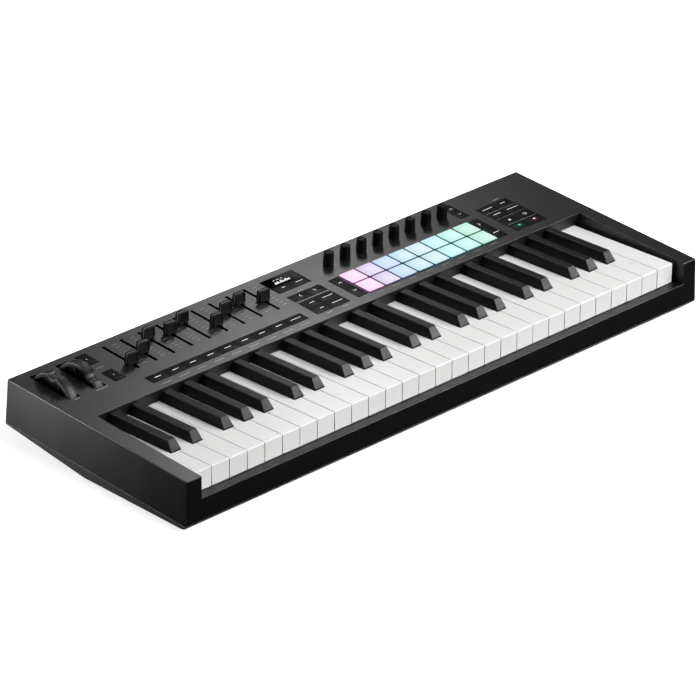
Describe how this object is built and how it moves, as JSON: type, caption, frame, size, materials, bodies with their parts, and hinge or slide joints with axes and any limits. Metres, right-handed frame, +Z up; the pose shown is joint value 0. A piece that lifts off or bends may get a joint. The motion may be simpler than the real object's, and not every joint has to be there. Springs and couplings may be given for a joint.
{
  "type": "midi keyboard",
  "caption": "Flat MIDI keyboard controller: piano keys in front, sloping control panel with wheels, faders, knobs, drum pads, buttons and a display behind.",
  "frame": {"origin": "on the table plane under the feet, at the middle of the object's bounding box in X and Y", "axes": "+X along the keys towards the high notes, +Y from the player to the rear, +Z up"},
  "size_m": [0.728, 0.2671, 0.0838],
  "materials": {
    "case": "fine-textured black plastic",
    "base": "matt black plastic",
    "white_keys": "satin white key plastic",
    "black_keys": "matt black key plastic",
    "frame": "grey moulded plastic",
    "board": "black solder mask",
    "display": "glossy black lens",
    "pads": "translucent backlit silicone",
    "buttons": "matt black silicone",
    "fader_caps": "satin black plastic",
    "knobs": "satin black plastic",
    "wheels": "matt black plastic",
    "sockets": "black connector plastic"
  },
  "bodies": {
    "case": {"top_case": "case", "bottom_case": "base", "key_chassis": "frame", "main_board": "board", "display_module": "display", "rear_io": "sockets"},
    "pitch_wheel_body": {"pitch_wheel": "wheels"},
    "mod_wheel_body": {"mod_wheel": "wheels"},
    "pads_body": {"pad_mat": "pads"},
    "buttons_body": {"button_mat": "buttons"},
    "fader_1_body": {"fader_cap_1": "fader_caps"},
    "fader_2_body": {"fader_cap_2": "fader_caps"},
    "fader_3_body": {"fader_cap_3": "fader_caps"},
    "fader_4_body": {"fader_cap_4": "fader_caps"},
    "fader_5_body": {"fader_cap_5": "fader_caps"},
    "fader_6_body": {"fader_cap_6": "fader_caps"},
    "fader_7_body": {"fader_cap_7": "fader_caps"},
    "fader_8_body": {"fader_cap_8": "fader_caps"},
    "fader_9_body": {"fader_cap_9": "fader_caps"},
    "knob_1_body": {"knob_1": "knobs"},
    "black_octave_1_body": {"black_keys_octave_1": "black_keys"},
    "black_octave_2_body": {"black_keys_octave_2": "black_keys"},
    "black_octave_3_body": {"black_keys_octave_3": "black_keys"},
    "black_octave_4_body": {"black_keys_octave_4": "black_keys"},
    "white_key_01_body": {"white_key_01": "white_keys"},
    "white_key_02_body": {"white_key_02": "white_keys"},
    "white_key_03_body": {"white_key_03": "white_keys"},
    "white_key_04_body": {"white_key_04": "white_keys"},
    "white_key_05_body": {"white_key_05": "white_keys"},
    "white_key_15_body": {"white_key_15": "white_keys"},
    "white_key_29_body": {"white_key_29": "white_keys"},
    "knob_2_body": {"knob_2": "knobs"},
    "knob_3_body": {"knob_3": "knobs"},
    "knob_4_body": {"knob_4": "knobs"},
    "knob_5_body": {"knob_5": "knobs"},
    "knob_6_body": {"knob_6": "knobs"},
    "knob_7_body": {"knob_7": "knobs"},
    "knob_8_body": {"knob_8": "knobs"},
    "white_key_06_body": {"white_key_06": "white_keys"},
    "white_key_07_body": {"white_key_07": "white_keys"},
    "white_key_08_body": {"white_key_08": "white_keys"},
    "white_key_09_body": {"white_key_09": "white_keys"},
    "white_key_10_body": {"white_key_10": "white_keys"},
    "white_key_11_body": {"white_key_11": "white_keys"},
    "white_key_12_body": {"white_key_12": "white_keys"},
    "white_key_13_body": {"white_key_13": "white_keys"},
    "white_key_14_body": {"white_key_14": "white_keys"},
    "white_key_16_body": {"white_key_16": "white_keys"},
    "white_key_17_body": {"white_key_17": "white_keys"},
    "white_key_18_body": {"white_key_18": "white_keys"},
    "white_key_19_body": {"white_key_19": "white_keys"},
    "white_key_20_body": {"white_key_20": "white_keys"},
    "white_key_21_body": {"white_key_21": "white_keys"},
    "white_key_22_body": {"white_key_22": "white_keys"},
    "white_key_23_body": {"white_key_23": "white_keys"},
    "white_key_24_body": {"white_key_24": "white_keys"},
    "white_key_25_body": {"white_key_25": "white_keys"},
    "white_key_26_body": {"white_key_26": "white_keys"},
    "white_key_27_body": {"white_key_27": "white_keys"},
    "white_key_28_body": {"white_key_28": "white_keys"}
  },
  "joints": [
    {"name": "pitch_wheel_turn", "type": "hinge", "parent": "case", "child": "pitch_wheel_body", "pos_m": [-0.3354, 0.0902, 0.0502], "axis": [1, 0, 0], "range_deg": [-38, 38], "stiffness_Nm_per_rad": 0.03},
    {"name": "mod_wheel_turn", "type": "hinge", "parent": "case", "child": "mod_wheel_body", "pos_m": [-0.3015, 0.0902, 0.0502], "axis": [1, 0, 0], "range_deg": [-72, 0]},
    {"name": "pads_press", "type": "slide", "parent": "case", "child": "pads_body", "axis": [0, 0.0456, -0.999], "range_m": [0, 0.0006], "stiffness_N_per_m": 6000, "springref_m": -0.0006},
    {"name": "buttons_press", "type": "slide", "parent": "case", "child": "buttons_body", "axis": [0, 0.0456, -0.999], "range_m": [0, 0.0005], "stiffness_N_per_m": 6000, "springref_m": -0.0006},
    {"name": "fader_1_slide", "type": "slide", "parent": "case", "child": "fader_1_body", "axis": [0, 0.999, 0.0456], "range_m": [-0.00676, 0.03894]},
    {"name": "fader_2_slide", "type": "slide", "parent": "case", "child": "fader_2_body", "axis": [0, 0.999, 0.0456], "range_m": [-0.01654, 0.02916]},
    {"name": "fader_3_slide", "type": "slide", "parent": "case", "child": "fader_3_body", "axis": [0, 0.999, 0.0456], "range_m": [-0.03542, 0.01028]},
    {"name": "fader_4_slide", "type": "slide", "parent": "case", "child": "fader_4_body", "axis": [0, 0.999, 0.0456], "range_m": [-0.02934, 0.01636]},
    {"name": "fader_5_slide", "type": "slide", "parent": "case", "child": "fader_5_body", "axis": [0, 0.999, 0.0456], "range_m": [-0.03766, 0.00804]},
    {"name": "fader_6_slide", "type": "slide", "parent": "case", "child": "fader_6_body", "axis": [0, 0.999, 0.0456], "range_m": [-0.01202, 0.03368]},
    {"name": "fader_7_slide", "type": "slide", "parent": "case", "child": "fader_7_body", "axis": [0, 0.999, 0.0456], "range_m": [-0.02486, 0.02084]},
    {"name": "fader_8_slide", "type": "slide", "parent": "case", "child": "fader_8_body", "axis": [0, 0.999, 0.0456], "range_m": [-0.03062, 0.01508]},
    {"name": "fader_9_slide", "type": "slide", "parent": "case", "child": "fader_9_body", "axis": [0, 0.999, 0.0456], "range_m": [-0.01974, 0.02596]},
    {"name": "knob_1_turn", "type": "hinge", "parent": "case", "child": "knob_1_body", "pos_m": [0.0534, 0.10435, 0.0686], "axis": [0, -0.0456, 0.999], "continuous": true},
    {"name": "black_octave_1_press", "type": "hinge", "parent": "case", "child": "black_octave_1_body", "pos_m": [-0.2522, 0.0517, 0.043], "axis": [1, 0, 0], "range_deg": [0, 3.4], "stiffness_Nm_per_rad": 2.4, "springref_deg": -8.59},
    {"name": "black_octave_2_press", "type": "hinge", "parent": "case", "child": "black_octave_2_body", "pos_m": [-0.0877, 0.0517, 0.043], "axis": [1, 0, 0], "range_deg": [0, 3.4], "stiffness_Nm_per_rad": 2.4, "springref_deg": -8.59},
    {"name": "black_octave_3_press", "type": "hinge", "parent": "case", "child": "black_octave_3_body", "pos_m": [0.0768, 0.0517, 0.043], "axis": [1, 0, 0], "range_deg": [0, 3.4], "stiffness_Nm_per_rad": 2.4, "springref_deg": -8.59},
    {"name": "black_octave_4_press", "type": "hinge", "parent": "case", "child": "black_octave_4_body", "pos_m": [0.2413, 0.0517, 0.043], "axis": [1, 0, 0], "range_deg": [0, 3.4], "stiffness_Nm_per_rad": 2.4, "springref_deg": -8.59},
    {"name": "white_key_01_press", "type": "hinge", "parent": "case", "child": "white_key_01_body", "pos_m": [-0.33095, 0.044, 0.044], "axis": [1, 0, 0], "range_deg": [0, 3.4], "stiffness_Nm_per_rad": 0.6, "springref_deg": -8.59},
    {"name": "white_key_02_press", "type": "hinge", "parent": "case", "child": "white_key_02_body", "pos_m": [-0.30745, 0.044, 0.044], "axis": [1, 0, 0], "range_deg": [0, 3.4], "stiffness_Nm_per_rad": 0.6, "springref_deg": -8.59},
    {"name": "white_key_03_press", "type": "hinge", "parent": "case", "child": "white_key_03_body", "pos_m": [-0.28395, 0.044, 0.044], "axis": [1, 0, 0], "range_deg": [0, 3.4], "stiffness_Nm_per_rad": 0.6, "springref_deg": -8.59},
    {"name": "white_key_04_press", "type": "hinge", "parent": "case", "child": "white_key_04_body", "pos_m": [-0.26045, 0.044, 0.044], "axis": [1, 0, 0], "range_deg": [0, 3.4], "stiffness_Nm_per_rad": 0.6, "springref_deg": -8.59},
    {"name": "white_key_05_press", "type": "hinge", "parent": "case", "child": "white_key_05_body", "pos_m": [-0.23695, 0.044, 0.044], "axis": [1, 0, 0], "range_deg": [0, 3.4], "stiffness_Nm_per_rad": 0.6, "springref_deg": -8.59},
    {"name": "white_key_15_press", "type": "hinge", "parent": "case", "child": "white_key_15_body", "pos_m": [-0.00195, 0.044, 0.044], "axis": [1, 0, 0], "range_deg": [0, 3.4], "stiffness_Nm_per_rad": 0.6, "springref_deg": -8.59},
    {"name": "white_key_29_press", "type": "hinge", "parent": "case", "child": "white_key_29_body", "pos_m": [0.32705, 0.044, 0.044], "axis": [1, 0, 0], "range_deg": [0, 3.4], "stiffness_Nm_per_rad": 0.6, "springref_deg": -8.59},
    {"name": "knob_2_turn", "type": "hinge", "parent": "case", "child": "knob_2_body", "pos_m": [0.0773, 0.10435, 0.0686], "axis": [0, -0.0456, 0.999], "continuous": true},
    {"name": "knob_3_turn", "type": "hinge", "parent": "case", "child": "knob_3_body", "pos_m": [0.1012, 0.10435, 0.0686], "axis": [0, -0.0456, 0.999], "continuous": true},
    {"name": "knob_4_turn", "type": "hinge", "parent": "case", "child": "knob_4_body", "pos_m": [0.1251, 0.10435, 0.0686], "axis": [0, -0.0456, 0.999], "continuous": true},
    {"name": "knob_5_turn", "type": "hinge", "parent": "case", "child": "knob_5_body", "pos_m": [0.149, 0.10435, 0.0686], "axis": [0, -0.0456, 0.999], "continuous": true},
    {"name": "knob_6_turn", "type": "hinge", "parent": "case", "child": "knob_6_body", "pos_m": [0.1729, 0.10435, 0.0686], "axis": [0, -0.0456, 0.999], "continuous": true},
    {"name": "knob_7_turn", "type": "hinge", "parent": "case", "child": "knob_7_body", "pos_m": [0.1968, 0.10435, 0.0686], "axis": [0, -0.0456, 0.999], "continuous": true},
    {"name": "knob_8_turn", "type": "hinge", "parent": "case", "child": "knob_8_body", "pos_m": [0.2207, 0.10435, 0.0686], "axis": [0, -0.0456, 0.999], "continuous": true},
    {"name": "white_key_06_press", "type": "hinge", "parent": "case", "child": "white_key_06_body", "pos_m": [-0.21345, 0.044, 0.044], "axis": [1, 0, 0], "range_deg": [0, 3.4], "stiffness_Nm_per_rad": 0.6, "springref_deg": -8.59},
    {"name": "white_key_07_press", "type": "hinge", "parent": "case", "child": "white_key_07_body", "pos_m": [-0.18995, 0.044, 0.044], "axis": [1, 0, 0], "range_deg": [0, 3.4], "stiffness_Nm_per_rad": 0.6, "springref_deg": -8.59},
    {"name": "white_key_08_press", "type": "hinge", "parent": "case", "child": "white_key_08_body", "pos_m": [-0.16645, 0.044, 0.044], "axis": [1, 0, 0], "range_deg": [0, 3.4], "stiffness_Nm_per_rad": 0.6, "springref_deg": -8.59},
    {"name": "white_key_09_press", "type": "hinge", "parent": "case", "child": "white_key_09_body", "pos_m": [-0.14295, 0.044, 0.044], "axis": [1, 0, 0], "range_deg": [0, 3.4], "stiffness_Nm_per_rad": 0.6, "springref_deg": -8.59},
    {"name": "white_key_10_press", "type": "hinge", "parent": "case", "child": "white_key_10_body", "pos_m": [-0.11945, 0.044, 0.044], "axis": [1, 0, 0], "range_deg": [0, 3.4], "stiffness_Nm_per_rad": 0.6, "springref_deg": -8.59},
    {"name": "white_key_11_press", "type": "hinge", "parent": "case", "child": "white_key_11_body", "pos_m": [-0.09595, 0.044, 0.044], "axis": [1, 0, 0], "range_deg": [0, 3.4], "stiffness_Nm_per_rad": 0.6, "springref_deg": -8.59},
    {"name": "white_key_12_press", "type": "hinge", "parent": "case", "child": "white_key_12_body", "pos_m": [-0.07245, 0.044, 0.044], "axis": [1, 0, 0], "range_deg": [0, 3.4], "stiffness_Nm_per_rad": 0.6, "springref_deg": -8.59},
    {"name": "white_key_13_press", "type": "hinge", "parent": "case", "child": "white_key_13_body", "pos_m": [-0.04895, 0.044, 0.044], "axis": [1, 0, 0], "range_deg": [0, 3.4], "stiffness_Nm_per_rad": 0.6, "springref_deg": -8.59},
    {"name": "white_key_14_press", "type": "hinge", "parent": "case", "child": "white_key_14_body", "pos_m": [-0.02545, 0.044, 0.044], "axis": [1, 0, 0], "range_deg": [0, 3.4], "stiffness_Nm_per_rad": 0.6, "springref_deg": -8.59},
    {"name": "white_key_16_press", "type": "hinge", "parent": "case", "child": "white_key_16_body", "pos_m": [0.02155, 0.044, 0.044], "axis": [1, 0, 0], "range_deg": [0, 3.4], "stiffness_Nm_per_rad": 0.6, "springref_deg": -8.59},
    {"name": "white_key_17_press", "type": "hinge", "parent": "case", "child": "white_key_17_body", "pos_m": [0.04505, 0.044, 0.044], "axis": [1, 0, 0], "range_deg": [0, 3.4], "stiffness_Nm_per_rad": 0.6, "springref_deg": -8.59},
    {"name": "white_key_18_press", "type": "hinge", "parent": "case", "child": "white_key_18_body", "pos_m": [0.06855, 0.044, 0.044], "axis": [1, 0, 0], "range_deg": [0, 3.4], "stiffness_Nm_per_rad": 0.6, "springref_deg": -8.59},
    {"name": "white_key_19_press", "type": "hinge", "parent": "case", "child": "white_key_19_body", "pos_m": [0.09205, 0.044, 0.044], "axis": [1, 0, 0], "range_deg": [0, 3.4], "stiffness_Nm_per_rad": 0.6, "springref_deg": -8.59},
    {"name": "white_key_20_press", "type": "hinge", "parent": "case", "child": "white_key_20_body", "pos_m": [0.11555, 0.044, 0.044], "axis": [1, 0, 0], "range_deg": [0, 3.4], "stiffness_Nm_per_rad": 0.6, "springref_deg": -8.59},
    {"name": "white_key_21_press", "type": "hinge", "parent": "case", "child": "white_key_21_body", "pos_m": [0.13905, 0.044, 0.044], "axis": [1, 0, 0], "range_deg": [0, 3.4], "stiffness_Nm_per_rad": 0.6, "springref_deg": -8.59},
    {"name": "white_key_22_press", "type": "hinge", "parent": "case", "child": "white_key_22_body", "pos_m": [0.16255, 0.044, 0.044], "axis": [1, 0, 0], "range_deg": [0, 3.4], "stiffness_Nm_per_rad": 0.6, "springref_deg": -8.59},
    {"name": "white_key_23_press", "type": "hinge", "parent": "case", "child": "white_key_23_body", "pos_m": [0.18605, 0.044, 0.044], "axis": [1, 0, 0], "range_deg": [0, 3.4], "stiffness_Nm_per_rad": 0.6, "springref_deg": -8.59},
    {"name": "white_key_24_press", "type": "hinge", "parent": "case", "child": "white_key_24_body", "pos_m": [0.20955, 0.044, 0.044], "axis": [1, 0, 0], "range_deg": [0, 3.4], "stiffness_Nm_per_rad": 0.6, "springref_deg": -8.59},
    {"name": "white_key_25_press", "type": "hinge", "parent": "case", "child": "white_key_25_body", "pos_m": [0.23305, 0.044, 0.044], "axis": [1, 0, 0], "range_deg": [0, 3.4], "stiffness_Nm_per_rad": 0.6, "springref_deg": -8.59},
    {"name": "white_key_26_press", "type": "hinge", "parent": "case", "child": "white_key_26_body", "pos_m": [0.25655, 0.044, 0.044], "axis": [1, 0, 0], "range_deg": [0, 3.4], "stiffness_Nm_per_rad": 0.6, "springref_deg": -8.59},
    {"name": "white_key_27_press", "type": "hinge", "parent": "case", "child": "white_key_27_body", "pos_m": [0.28005, 0.044, 0.044], "axis": [1, 0, 0], "range_deg": [0, 3.4], "stiffness_Nm_per_rad": 0.6, "springref_deg": -8.59},
    {"name": "white_key_28_press", "type": "hinge", "parent": "case", "child": "white_key_28_body", "pos_m": [0.30355, 0.044, 0.044], "axis": [1, 0, 0], "range_deg": [0, 3.4], "stiffness_Nm_per_rad": 0.6, "springref_deg": -8.59}
  ]
}
